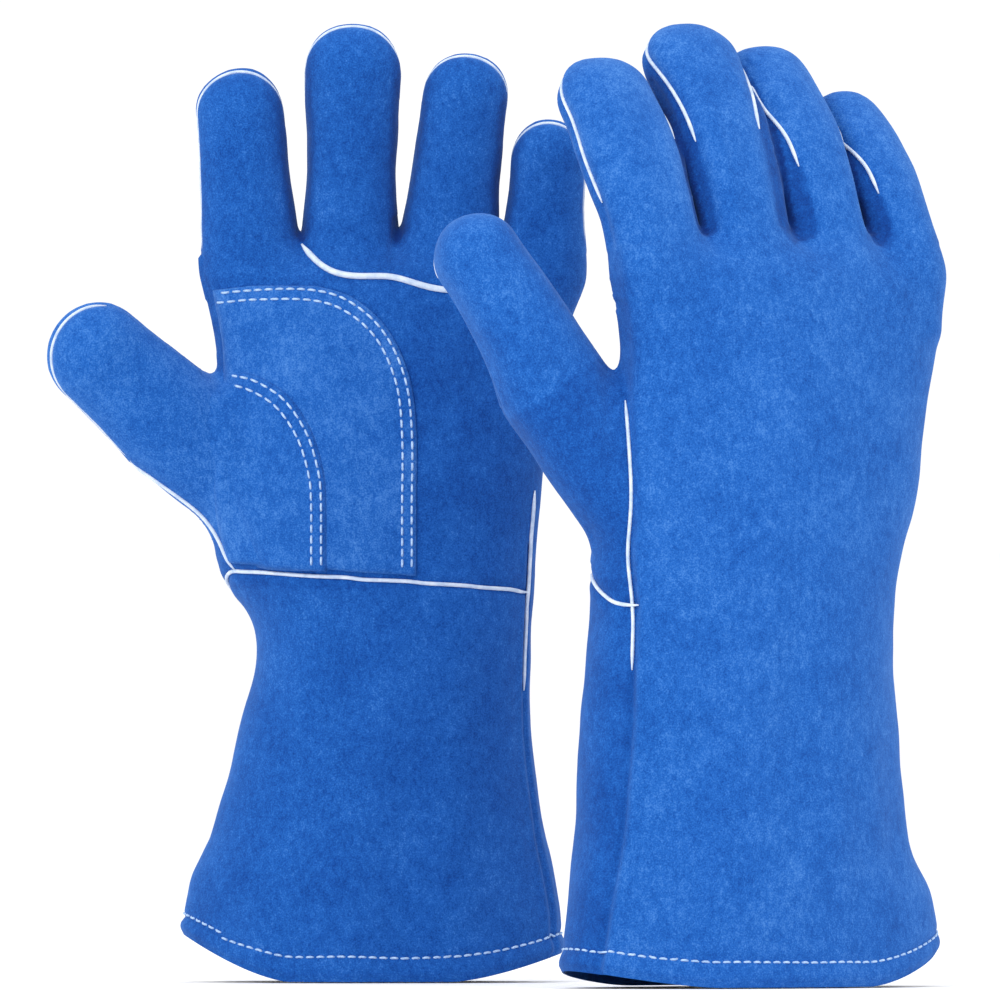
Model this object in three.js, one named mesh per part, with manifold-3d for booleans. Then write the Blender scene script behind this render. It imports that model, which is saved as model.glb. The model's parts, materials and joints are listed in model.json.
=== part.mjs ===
// A pair of leather gauntlet gloves standing on their cuffs, in millimetres, +Z up.
// Each glove is designed once, in its own frame: origin at the middle of the cuff mouth, fingers
// along +Z, thumb towards -X, palm facing -Y. The right glove is that design mirrored and turned.
import * as THREE from 'three';
import { mergeVertices } from 'three/addons/utils/BufferGeometryUtils.js';
import Module from 'manifold-3d';

const wasm = await Module();
wasm.setup();

// Driving dimensions
const WALL = 2.4;            // split leather with its cotton lining
const LINING = 1.2;          // canvas lining of the cuff
const GAP = 0.4;             // clearance between neighbouring pieces
const PATCH = 1.6;           // reinforcement leather on the palm
const LAYER_GAP = 1.2;       // clearance between layers whose facets differ
const WELT_RADIUS = 1.5;     // piping sewn into the seams
const WRIST_SEAM = 156;      // height of the seam between cuff and hand
const WRIST_GAP = 12;        // room for the wrist to fold
const HEM_FLAT = 0.42;       // share of the cuff's half width where the hem stands flat
const HEM_RISE_HEIGHT = 60;  // the rounding of the hem dies out at this height
const HAND_TOP = 300;        // height where the fingers leave the palm
const FOLD_ROOM = 4;         // room at a finger root for the finger to fold
const THUMB_ROOM = 3.6;      // room between the root of the thumb and the hand's own leather
const THUMB_REACH = 12;      // the root of the thumb starts this far inside the hand's outline
const ROOT_ROOM = 2;         // room below the fold line of the thumb
const FOLD_DEPTH = 0.5;      // how far the fold line lies palmward, as a part of half the depth
const SEAM_THUMB_SIDE = 150; // seam angles round the glove: 0 pinky side, 90 back, 180 thumb side
const SEAM_PINKY_SIDE = -12;
const PAIR_SPACING = 158;    // between the middles of the two cuffs
const RIGHT_FORWARD = 166;   // the right glove stands this much in front, clear of the left one's reach
const RIGHT_YAW = 28;        // and is turned so that its thumb side shows
const STALL_SIDES = 14;
const BLUE = 0x2a62b8;
const BACK_BLUE = 0x3a72c3;
const WHITE = 0xd9dde6;
const CANVAS = 0xb9b6a8;

const rad = THREE.MathUtils.degToRad;

// Sections of the leather tube: height, middle, half width, half depth
const LEFT = {
  name: 'left',
  cuff: [[0, 0, 81, 44], [30, 0.6, 78, 42], [60, 2.6, 70.5, 39], [105, 5.6, 62, 36], [WRIST_SEAM, 8.5, 59, 35]],
  hand: [[WRIST_SEAM + WRIST_GAP, 3, 65, 34], [205, 0, 70, 34], [235, 4, 70, 32], [265, 7, 73, 29],
    [HAND_TOP, 8, 80, 24]],
  hemRise: { thumb: 21, pinky: 12 },
  thumb: { root: [-64, -4, 224], lean: 52, flex: 8, stub: 24, length: 62, width: 21, depth: 17, curl: 8 },
  fingers: {
    index: { root: [-50, 0, 306], lean: 5, flex: 3, length: 78, width: 18, depth: 14.5, curl: 8 },
    middle: { root: [-8.8, 0, 309], lean: -1, flex: 2, length: 94, width: 18, depth: 15, curl: 8 },
    ring: { root: [32, 0, 308], lean: -7, flex: 3, length: 83, width: 17.5, depth: 14.5, curl: 8 },
    pinky: { root: [72.5, 0, 304], lean: -3, flex: 5, length: 58, width: 16, depth: 13.5, curl: 8 },
  },
};
const RIGHT = {
  name: 'right',
  cuff: [[0, 0, 83, 46], [30, 0, 80, 45], [60, -3, 76, 43.5], [105, -4, 72, 42], [WRIST_SEAM, -4, 69, 41]],
  hand: [[WRIST_SEAM + WRIST_GAP, -2, 69, 40], [205, 3, 70, 38], [235, 9, 71, 35], [265, 14, 73, 31],
    [HAND_TOP, 14, 78, 26]],
  hemRise: { thumb: 7, pinky: 16 },
  thumb: { root: [-60, 2, 218], lean: 32, flex: 14, stub: 46, length: 78, width: 20, depth: 17, curl: 10 },
  fingers: {
    index: { root: [-44, 0, 307], lean: 5, flex: 14, length: 92, width: 18.5, depth: 15, curl: 38 },
    middle: { root: [-3, 0, 311], lean: 3, flex: 12, length: 104, width: 18.5, depth: 15.5, curl: 40 },
    ring: { root: [36.5, 0, 309], lean: 6, flex: 13, length: 98, width: 17, depth: 15, curl: 45 },
    pinky: { root: [72.5, 0, 304], lean: 7, flex: 15, length: 82, width: 15, depth: 13.5, curl: 45 },
  },
};

const materials = {
  palm: new THREE.MeshStandardMaterial({ color: BLUE, roughness: 0.95, metalness: 0 }),
  back: new THREE.MeshStandardMaterial({ color: BACK_BLUE, roughness: 0.95, metalness: 0 }),
  welt: new THREE.MeshStandardMaterial({ color: WHITE, roughness: 0.7, metalness: 0 }),
  lining: new THREE.MeshStandardMaterial({ color: CANVAS, roughness: 0.9, metalness: 0 }),
};

function solidOf(geometry) {
  const bare = geometry.clone();
  bare.deleteAttribute('normal');
  bare.deleteAttribute('uv');
  const merged = mergeVertices(bare, 1e-4);
  return new wasm.Manifold(new wasm.Mesh({
    numProp: 3,
    vertProperties: new Float32Array(merged.attributes.position.array),
    triVerts: new Uint32Array(merged.index.array),
  }));
}

function geometryOf(solid) {
  const mesh = solid.getMesh();
  const geometry = new THREE.BufferGeometry();
  geometry.setAttribute('position', new THREE.BufferAttribute(new Float32Array(mesh.vertProperties), 3));
  geometry.setIndex(new THREE.BufferAttribute(new Uint32Array(mesh.triVerts), 1));
  geometry.computeVertexNormals();
  return geometry;
}

function bend(geometry, place) {
  const position = geometry.attributes.position;
  const point = new THREE.Vector3();
  for (let i = 0; i < position.count; i += 1) {
    place(point.fromBufferAttribute(position, i));
    position.setXYZ(i, point.x, point.y, point.z);
  }
  geometry.computeVertexNormals();
  return geometry;
}

// Point of the leather tube at an angle and a height, moved outward by offset
function onTube(rows, angle, height, offset) {
  let row = 0;
  while (row < rows.length - 2 && height > rows[row + 1][0]) row += 1;
  const [low, high] = [rows[row], rows[row + 1]];
  const t = (height - low[0]) / (high[0] - low[0]);
  const [middle, width, depth] = [1, 2, 3].map((k) => THREE.MathUtils.lerp(low[k], high[k], t));
  return new THREE.Vector3(
    middle + (width + offset) * Math.cos(angle),
    (depth + offset) * Math.sin(angle),
    height,
  );
}

// A panel of leather that follows the tube between two angles and two heights
function panel(rows, from, to, bottom, top, offset, wall, sides, steps, rise) {
  const sheet = new THREE.BoxGeometry(1, 1, 1, sides, steps, 1);
  return bend(sheet, (p) => {
    const angle = rad(THREE.MathUtils.lerp(from, to, p.x + 0.5));
    const height = THREE.MathUtils.lerp(bottom, top, p.y + 0.5);
    p.copy(onTube(rows, angle, height, offset + (p.z - 0.5) * wall));
    if (rise) p.z += hemRise(rise, angle) * Math.max(0, 1 - height / HEM_RISE_HEIGHT);
  });
}

// The hem stands flat in front and behind, and is cut round, so that it rises towards the two sides
function hemRise(rise, angle) {
  const side = Math.cos(angle);
  const beyond = Math.max(0, Math.abs(side) - HEM_FLAT) / (1 - HEM_FLAT);
  return (side < 0 ? rise.thumb : rise.pinky) * beyond ** 1.5;
}

// A closed finger stall about +Z, open at the bottom, elliptical, with a round, slightly full tip
function stall({ length, width, depth, curl }, start) {
  const neck = width * 0.94;
  const cap = length - width;
  const outer = [[width, start], [neck, cap * 0.5], [width, cap]];
  for (const turn of [25, 50, 70]) {
    outer.push([width * Math.cos(rad(turn)), cap + width * Math.sin(rad(turn))]);
  }
  outer.push([0, length]);
  const inner = outer.map(([r, z]) => [Math.max(0, r - WALL), z > cap ? z - WALL : z]).reverse();
  inner[inner.length - 1][1] = start;
  const profile = [...outer, ...inner, outer[0]].map(([r, z]) => new THREE.Vector2(r, z));
  const whole = ellipticTube(profile, { width, depth });
  return ['front', 'back'].map((side) => {
    const half = whole.intersect(halfSpace(side, 300));
    return [side, bend(geometryOf(half), (p) => curlForward(p, length, rad(curl)))];
  });
}

// A profile turned about +Z and flattened front to back
function ellipticTube(profile, { width, depth }) {
  const round = new THREE.LatheGeometry(profile, STALL_SIDES);
  round.rotateX(Math.PI / 2);
  round.scale(1, depth / width, 1);
  return solidOf(flipIfInside(round));
}

function halfSpace(side, size) {
  const box = new THREE.BoxGeometry(size, size, size);
  const shift = (size + GAP) / 2;
  box.translate(0, side === 'front' ? -shift : shift, 0);
  return solidOf(box);
}

// A lathe profile drawn the other way round gives faces that point inward
function flipIfInside(geometry) {
  const index = geometry.index.array;
  if (volume(geometry) < 0) {
    for (let i = 0; i < index.length; i += 3) [index[i], index[i + 1]] = [index[i + 1], index[i]];
  }
  return geometry;
}

function volume(geometry) {
  const [a, b, c] = [new THREE.Vector3(), new THREE.Vector3(), new THREE.Vector3()];
  const { index, attributes: { position } } = geometry;
  let sum = 0;
  for (let i = 0; i < index.count; i += 3) {
    a.fromBufferAttribute(position, index.getX(i));
    b.fromBufferAttribute(position, index.getX(i + 1));
    c.fromBufferAttribute(position, index.getX(i + 2));
    sum += a.dot(b.cross(c));
  }
  return sum;
}

// Bends a stall towards the palm on an arc that turns by curl over its length
function curlForward(p, length, curl) {
  const turn = curl * Math.max(0, p.z) / length;
  const radius = length / curl;
  const along = p.z < 0 ? p.z : radius * Math.sin(turn);
  const forward = radius * (1 - Math.cos(turn));
  const across = p.y;
  p.y = -forward + across * Math.cos(turn);
  p.z = along + across * Math.sin(turn);
}

function welt(points, steps) {
  const section = new THREE.Shape();
  section.absarc(0, 0, WELT_RADIUS, 0, Math.PI * 2);
  const path = new THREE.CatmullRomCurve3(points);
  return new THREE.ExtrudeGeometry(section, { steps, extrudePath: path, curveSegments: 3, bevelEnabled: false });
}

function mesh(name, geometry, material) {
  const piece = new THREE.Mesh(geometry, material);
  piece.name = name;
  return piece;
}

// Takes the room of another solid, given in the glove's frame, out of a piece in a hinge's frame
function trimmed(geometry, matrix, keepOut) {
  const placed = geometry.clone().applyMatrix4(matrix);
  const rest = geometryOf(solidOf(placed).subtract(keepOut));
  return rest.applyMatrix4(matrix.clone().invert());
}

// The whole hand filled in, grown by some room
function handHull(rows, room) {
  const core = new THREE.CylinderGeometry(1, 1, 1, 28, 6);
  core.rotateX(Math.PI / 2);
  return solidOf(bend(core, (p) => {
    const reach = Math.hypot(p.x, p.y);
    const height = THREE.MathUtils.lerp(rows[0][0], HAND_TOP, p.z + 0.5);
    const skin = onTube(rows, Math.atan2(p.y, p.x), height, room);
    const middle = onTube(rows, Math.PI / 2, height, 0).setY(0);
    p.copy(middle.lerp(skin, reach));
  }));
}

// Turns a group as a digit leans sideways and folds towards the palm
function turnLike(group, spec) {
  group.rotation.order = 'YXZ';
  group.rotation.y = -rad(spec.lean);
  group.rotation.x = rad(spec.flex);
  group.updateMatrix();
  return group;
}

// The open root of the thumb, sewn to the hand, in front and back halves
function thumbRoot(spec, glove, keepOut) {
  const group = turnLike(new THREE.Group(), spec);
  group.position.set(...spec.root);
  group.updateMatrix();
  const { width, stub } = spec;
  const corners = [[width, -THUMB_REACH], [width, stub - ROOT_ROOM]];
  const inside = corners.map(([r, z]) => [r - WALL, z]).reverse();
  const profile = [...corners, ...inside, corners[0]].map(([r, z]) => new THREE.Vector2(r, z));
  const whole = ellipticTube(profile, spec);
  for (const side of ['front', 'back']) {
    const half = geometryOf(whole.intersect(halfSpace(side, 300)));
    const geometry = trimmed(half, group.matrix, keepOut);
    const colour = side === 'front' ? materials.palm : materials.back;
    group.add(mesh(`${glove}_thumb_root_${side}`, geometry, colour));
  }
  return group;
}

// The free end of a digit sits on a hinge group whose X axis is the fold line
function digit(spec, glove, name) {
  const place = turnLike(new THREE.Group(), spec);
  place.position.set(...spec.root);
  const hinge = new THREE.Group();
  const fold = spec.depth * FOLD_DEPTH;
  hinge.position.set(0, -fold, spec.stub ?? 0);
  hinge.userData.hinge = `${glove}_${name}`;
  for (const [side, geometry] of stall(spec, FOLD_ROOM)) {
    geometry.translate(0, fold, 0);
    const colour = side === 'front' ? materials.palm : materials.back;
    hinge.add(mesh(`${glove}_${name}_${side}`, geometry, colour));
  }
  place.add(hinge);
  return place;
}

// A flat outline pressed onto the front of the palm as a layer of leather
function applique(rows, outline, cutters) {
  const layer = panel(rows, 176, 345, rows[0][0] + 1, HAND_TOP - 1, PATCH + LAYER_GAP, PATCH, 20, 6);
  const block = new THREE.ExtrudeGeometry(outline, { depth: 120, bevelEnabled: false, curveSegments: 8 });
  block.rotateX(Math.PI / 2);
  let piece = solidOf(layer).intersect(solidOf(block));
  for (const cutter of cutters) piece = piece.subtract(cutter);
  return geometryOf(piece);
}

// Reinforcement patch of the index side of the palm, its free corner rounded
function patchOutline() {
  const outline = new THREE.Shape();
  outline.moveTo(-84, 176);
  outline.lineTo(19, 176);
  outline.lineTo(19, 238);
  outline.absellipse(-20, 238, 39, 54, 0, Math.PI / 2, false, 0);
  outline.lineTo(-84, 289);
  outline.closePath();
  return outline;
}

// Wing of the thumb piece that runs down the palm to the wrist seam
function wingOutline(grow) {
  const outline = new THREE.Shape();
  const right = -18.5 + grow;
  const top = 258 + grow;
  outline.moveTo(-90, 170);
  outline.lineTo(right, 170);
  outline.lineTo(right, 214);
  outline.absellipse(-54, 214, right + 54, top - 214, 0, Math.PI / 2, false, 0);
  outline.lineTo(-90, top - 4);
  outline.closePath();
  return outline;
}

function wingBlock(grow) {
  const shape = wingOutline(grow);
  const block = new THREE.ExtrudeGeometry(shape, { depth: 120, bevelEnabled: false, curveSegments: 8 });
  block.rotateX(Math.PI / 2);
  return solidOf(block);
}

// The hole through which the thumb's inside opens into the palm
function thumbBore(spec) {
  const bore = new THREE.CylinderGeometry(1, 1, 90, 14);
  bore.rotateX(Math.PI / 2);
  bore.scale(spec.width - WALL, spec.depth - WALL, 1);
  const place = new THREE.Object3D();
  place.position.set(...spec.root);
  turnLike(place, spec);
  bore.applyMatrix4(place.matrix);
  return solidOf(bore);
}

function handBody(spec) {
  const { name, hand } = spec;
  const bottom = hand[0][0];
  const bore = thumbBore(spec.thumb);
  const cut = (geometry) => geometryOf(solidOf(geometry).subtract(bore));
  const palm = panel(hand, SEAM_THUMB_SIDE, 360 + SEAM_PINKY_SIDE, bottom, HAND_TOP, 0, WALL, 16, 5);
  const gap = 0.6;
  const back = panel(hand, SEAM_PINKY_SIDE + gap, SEAM_THUMB_SIDE - gap, bottom, HAND_TOP, 0, WALL, 14, 5);
  const group = new THREE.Group();
  group.add(mesh(`${name}_palm_panel`, cut(palm), materials.palm));
  group.add(mesh(`${name}_back_panel`, cut(back), materials.back));
  const patch = applique(hand, patchOutline(), [wingBlock(GAP), bore]);
  group.add(mesh(`${name}_palm_patch`, patch, materials.palm));
  group.add(mesh(`${name}_thumb_wing`, applique(hand, wingOutline(0), [bore]), materials.palm));
  const above = [240, 262, 284, 306].map((angle, i) => (
    onTube(hand, rad(angle), HAND_TOP - 3 - i * 1.2, WELT_RADIUS + LAYER_GAP)));
  group.add(mesh(`${name}_finger_root_welt`, welt(above, 16), materials.welt));
  return group;
}

function cuffBody(spec) {
  const { name, cuff, hemRise: rise } = spec;
  const gap = 0.5;
  const palm = panel(cuff, SEAM_THUMB_SIDE, 360 + SEAM_PINKY_SIDE, 0, WRIST_SEAM, 0, WALL, 16, 6, rise);
  const back = panel(cuff, SEAM_PINKY_SIDE + gap, SEAM_THUMB_SIDE - gap, 0, WRIST_SEAM, 0, WALL, 14, 6, rise);
  const group = new THREE.Group();
  group.add(mesh(`${name}_cuff_palm_panel`, palm, materials.palm));
  group.add(mesh(`${name}_cuff_back_panel`, back, materials.back));
  const inside = -WALL - LAYER_GAP - GAP;
  const lining = panel(cuff, 0, 359, 24, WRIST_SEAM - 2, inside, LINING, 28, 4);
  group.add(mesh(`${name}_cuff_lining`, lining, materials.lining));
  const seam = [];
  for (let angle = SEAM_THUMB_SIDE + 4; angle <= 360 + SEAM_PINKY_SIDE; angle += 19) {
    seam.push(onTube(cuff, rad(angle), WRIST_SEAM - 2, WELT_RADIUS + LAYER_GAP));
  }
  group.add(mesh(`${name}_wrist_welt`, welt(seam, 22), materials.welt));
  const side = [0, 1, 2, 3].map((i) => (
    onTube(cuff, rad(SEAM_PINKY_SIDE), WRIST_SEAM - 7 - i * 11, WELT_RADIUS + LAYER_GAP)));
  group.add(mesh(`${name}_side_welt`, welt(side, 8), materials.welt));
  return group;
}

function glove(spec) {
  const whole = new THREE.Group();
  whole.add(cuffBody(spec));
  whole.add(handBody(spec));
  whole.add(thumbRoot(spec.thumb, spec.name, handHull(spec.hand, THUMB_ROOM)));
  whole.add(digit(spec.thumb, spec.name, 'thumb'));
  for (const [finger, shape] of Object.entries(spec.fingers)) {
    whole.add(digit(shape, spec.name, finger));
  }
  return whole;
}

const pair = new THREE.Group();
const left = glove(LEFT);
left.position.set(-PAIR_SPACING / 2, RIGHT_FORWARD / 2, 0);
const right = glove(RIGHT);
right.scale.x = -1;
const turned = new THREE.Group();
turned.rotation.z = Math.PI + rad(RIGHT_YAW);
turned.position.set(PAIR_SPACING / 2, -RIGHT_FORWARD / 2, 0);
turned.add(right);
pair.add(left, turned);

// The origin is the middle of the pair's footprint
pair.updateMatrixWorld(true);
const middle = new THREE.Box3().setFromObject(pair, true).getCenter(new THREE.Vector3());
pair.position.set(-middle.x, -middle.y, 0);

export default pair;
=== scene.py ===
"""A pair of blue suede gauntlet gloves with white piping and stitching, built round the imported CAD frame.

Each glove is shaped in its own coordinates, in millimetres: origin at the middle of the cuff mouth,
fingers along +Z, thumb towards -X, palm facing -Y. The right glove is mirrored and turned, as in the CAD.
"""

import json
import math

import bpy
import numpy as np
from mathutils import Matrix, Vector, noise
from mathutils.bvhtree import BVHTree
from mathutils.geometry import delaunay_2d_cdt


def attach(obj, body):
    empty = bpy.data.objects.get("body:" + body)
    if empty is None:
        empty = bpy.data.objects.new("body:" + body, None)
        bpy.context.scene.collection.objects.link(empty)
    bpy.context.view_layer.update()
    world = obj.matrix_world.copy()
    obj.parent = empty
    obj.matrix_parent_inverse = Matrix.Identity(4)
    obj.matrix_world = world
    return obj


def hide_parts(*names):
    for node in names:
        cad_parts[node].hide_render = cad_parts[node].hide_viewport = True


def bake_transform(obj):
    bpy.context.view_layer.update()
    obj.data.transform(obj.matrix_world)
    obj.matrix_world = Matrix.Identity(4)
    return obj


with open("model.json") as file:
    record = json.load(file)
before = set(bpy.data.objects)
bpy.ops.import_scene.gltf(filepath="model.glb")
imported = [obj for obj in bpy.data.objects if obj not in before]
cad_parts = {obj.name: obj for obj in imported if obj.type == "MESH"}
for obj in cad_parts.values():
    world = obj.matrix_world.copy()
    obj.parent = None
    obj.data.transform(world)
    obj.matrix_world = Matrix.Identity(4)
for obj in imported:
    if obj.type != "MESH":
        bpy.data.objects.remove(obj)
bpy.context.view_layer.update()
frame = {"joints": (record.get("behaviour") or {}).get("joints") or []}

MM = 0.001
JOINTS = {joint["name"]: joint for joint in frame["joints"]}

# The grid that the skin is worked out on
CELL = 1.7
GRID_LOW = (-150.0, -75.0, 0.0)
GRID_HIGH = (112.0, 60.0, 418.0)
FINGERS_FROM = 262.0  # the fingers' forms matter above this height
THUMB_SPAN = (150.0, 350.0)
TOP_ROUNDING = 26.0  # how softly the hand closes between the fingers
FINGER_REACH = 1.5  # how softly two fingers join
JOIN_REACH = 7.0  # how softly a finger or a thumb joins the hand
FAR = 99.0  # a distance that nothing reaches

LEATHER = 1.8  # thickness of the leather
WRIST_FOLD = (140.0, 166.0)
HAND_TOP = 300.0
HEM_RISE_HEIGHT = 60.0  # below this height the hem's rise is felt
HEM_STITCH = 11.0  # height of the stitches above the hem
HEM_FLAT = 0.42  # share of the half width over which the hem doesn't rise
LINING_INSETS = (6.4, 7.4)  # the canvas's two faces, in from the tube's surface
LINING_HEIGHTS = (4.0, 150.0)
# Angles round the glove: 0 is the pinky side, 90 the back, 180 the thumb side, 270 the palm.
# The back panel's edge on the thumb side: heights and angles
SEAM_HEIGHTS = (0, 60, 110, 158, 200, 236, 262, 300)
SEAM_ANGLES = (158, 153, 150, 151, 162, 169, 178, 180)
SEAM_PINKY_SIDE = -18.0
SEAM_TURN = (160.0, 190.0)  # between these heights that edge leaves the tube and follows the back
# Height of the seam between palm and gauntlet at angles round the palm side
WRIST_ANGLES = (150, 168, 185, 200, 225, 270, 345)
WRIST_HEIGHTS = (159, 161, 168, 172, 171.5, 168.5, 163)
FOLD_LENGTH = 26.0  # a finger bends over this length from its fold line
WRIST_JOINT = (4.0, 0.0, 162.0)
ROOT_REACH = (34.0, 70.0)  # how far a finger and a thumb run on inside the hand
STALL_WAIST = 0.03
WAIST_END = 0.78  # share of a stall's length over which it is slimmer
BELLY = (1.8, 42.0, 20.0)  # a bent finger is wider by this much, at this distance along it, over this
BURIED = (0.55, 6.0, 34.0)  # inside the hand a finger is slimmer by this share, between these depths
BOXY = 0.1  # how square a stall's section is
STRIP_SIDE = 0.42  # how far behind a straight finger's middle its side strips reach
STRIP_ENDS = (0.4, 1.0)  # shares of a finger's length between which its side strips run out

# Unevenness of the leather: height of the bumps and their size
BROAD_DENTS = (1.3, 55)
SMALL_DENTS = (0.55, 17)
CUFF_FOLDS = (1.9, 32)
FOLD_STRETCH = (1, 1, 0.3)  # the folds of the cuff run up and down
FOLDS_END = (110.0, 200.0)  # heights between which those folds run out
# Rounded ridges and grooves: height, middle and half width
SEAM_GROOVE = (-0.9, 0, 1.9)
SEAM_RIDGE = (0.5, 4.5, 3)
FINGER_GROOVE = (-1.1, 0, 1.5)
HEM_ROLL = (0.9, 4.5, 3.6)
STITCH_GROOVE = (-0.7, HEM_STITCH, 1.6)
HEM_EDGE = (-1.2, 0, 1.6)
LAP = 1.3  # how far the back panel stands over the palm panel at its edge

# How light the suede is
BASE_TONE = 0.45
PATCH_TONE = 0.58
WING_TONE = 0.53
INNER_TONE = -0.1  # the leather's inner face against its outer one
# painted shade on the side strips where a finger faces its neighbour
BETWEEN_FINGERS_SHADE = -0.24
PALM_TONE = -0.05

PIPING_RADIUS = 0.85
PIPING_STEP = 2.2
SEAM_SPANS = {"back": (132, 244), "side": (122, 206)}  # heights between which piping shows
THUMB_SEAM_FOOT = {"left": 204, "right": 220}  # angle at which the thumb's seam meets the wrist seam
THUMB_SEAM_LOW = 172.0
THUMB_SEAM_BOW = (-5, -4, 0)
LAYER_CELL = 1.6  # spacing of the points of the patch and the wing
LAYER_RIM = 1.4

# How far behind a bent finger's middle its side strips reach, on its thumb side and its far side
STRIPS = {"index": (0, 0.5), "middle": (0.55, 0.8), "ring": (0.8, 0.4), "pinky": (0.8, 0)}
# How far up a bent finger the piping starts, on the same two sides, and up a straight one
PIPING_STARTS = {"index": (22, 44), "middle": (40, 42), "ring": (30, 38), "pinky": (24, 24)}
STRAIGHT_START = (3, 8)

# Lines on the palm, as points of across and height. First the seam below the middle and ring fingers
ROOT_SEAM = [(-29, 309), (-22.7, 302), (-16, 297.5), (-6.7, 295.7), (7, 295.7), (14.7, 294), (23, 291.5),
             (32, 290), (43, 290.5), (51, 296), (53, 303)]
PATCH_EDGE = [(19, 173), (19, 200), (19, 232), (15.8, 255), (6.8, 274), (-7, 286.5), (-22, 291.5)]
PATCH_STITCHES = [
    [(17, 173), (17, 200), (17, 231), (14, 254), (5.2, 272.6), (-8, 284.5), (-23, 289.5), (-48, 290),
     (-66, 289)],
    [(13, 173), (13, 200), (13, 230), (10.3, 252), (2.4, 269.6), (-10, 280.8), (-24, 285.5), (-48, 286),
     (-66, 285)],
]
WING_EDGE = [(-18.5, 174), (-18.5, 200), (-19.6, 214), (-24.5, 231), (-34, 245.5), (-47, 254), (-60, 257)]
WING_STITCHES = [
    [(-20.5, 174), (-20.5, 200), (-21.6, 213.5), (-26.4, 230), (-35.5, 243.8), (-48, 252), (-59, 254.5)],
    [(-24.5, 174), (-24.5, 200), (-25.6, 212.5), (-30, 227.6), (-38.4, 240.6), (-50, 248.2), (-59, 250.5)],
]
# Where the wing runs into the thumb: heights and places across
WING_END_HEIGHTS = (172, 180, 200, 225, 245, 255.0)
WING_END_PLACES = (-52, -56, -64, -72, -72, -64.0)

# The picture, in metres
CAMERA_DISTANCE = 20.0
PICTURE_WIDTH = 0.42
CAMERA_TILT = 0.2  # degrees above level
CAMERA_AIM = (0.0542, 0.083, 0.202)  # the first number counts from the left glove's middle
FLOOR_REACH = 40.0
FLOOR_DROP = 0.0005
# Lamps: place, the height that they aim at, size and power
LAMPS = {
    "key": ((-1.3, -2.2, 1.9), 0.22, 1.6, 42),
    "fill": ((2.2, -1.9, 1.0), 0.22, 2.0, 16),
    "top": ((0.1, 0.3, 2.6), 0.2, 2.0, 14),
}

# A glove is a hollow tube with sections in rows of height, middle, half width and half depth.
# Its hem rises by "rise" at the thumb side and at the pinky side, and the hand closes at "top".
# A digit has its lean and flex in degrees, length, half width, half depth, curl in degrees, and flare.
GLOVES = {
    "left": {
        "rows": [(0, 0, 81, 44), (30, 0.6, 78, 42), (60, 2.6, 70.5, 39), (105, 5.6, 62, 36),
                 (150, 8.5, 59, 35), (172, 3.5, 66, 34), (205, 1, 70.5, 34), (235, 4, 70, 32),
                 (265, 7, 73, 29), (300, 8, 80, 24), (330, 8, 82, 20)],
        "rise": (21, 12),
        "top": 309,
        "digits": {
            "thumb": (52, 8, 62, 21, 17, 8, 3.5),
            "index": (5, 3, 78, 18, 14.5, 8, 2.5),
            "middle": (-1, 2, 94, 20, 15, 8, 0.8),
            "ring": (-7, 3, 83, 17.5, 14.5, 8, 3),
            "pinky": (-3, 5, 58, 15.5, 13.5, 8, 2.5),
        },
    },
    "right": {
        "rows": [(0, 0, 86, 46), (26, 0.5, 84, 45), (60, -3, 76, 43.5), (105, -4, 72, 42),
                 (150, -4, 69, 41), (172, -2, 69, 40), (205, 5, 71, 38), (235, 9, 72, 35),
                 (265, 14, 73, 31), (300, 14, 78, 26), (330, 14, 80, 22)],
        "rise": (7, 16),
        "top": 311,
        "digits": {
            "thumb": (32, 14, 78, 18.5, 17, 10, 4.5),
            "index": (5, 14, 92, 19.5, 15, 38, 0.5),
            "middle": (3, 12, 104, 20, 15.5, 40, 0),
            "ring": (6, 13, 98, 17.5, 15, 45, 0.5),
            "pinky": (7, 15, 82, 14.5, 13.5, 45, 1.5),
        },
    },
}
# What is unlike the others: a waist, a root pushed sideways or forwards, a seam in another place
UNLIKE = {
    "left_thumb": {"waist": 0.02, "skew": 3.5},
    "left_middle": {"waist": 0.1},
    "right_thumb": {"skew": 3, "sag": 9, "seam": -0.8},
}


# ---- glove coordinates

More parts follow.
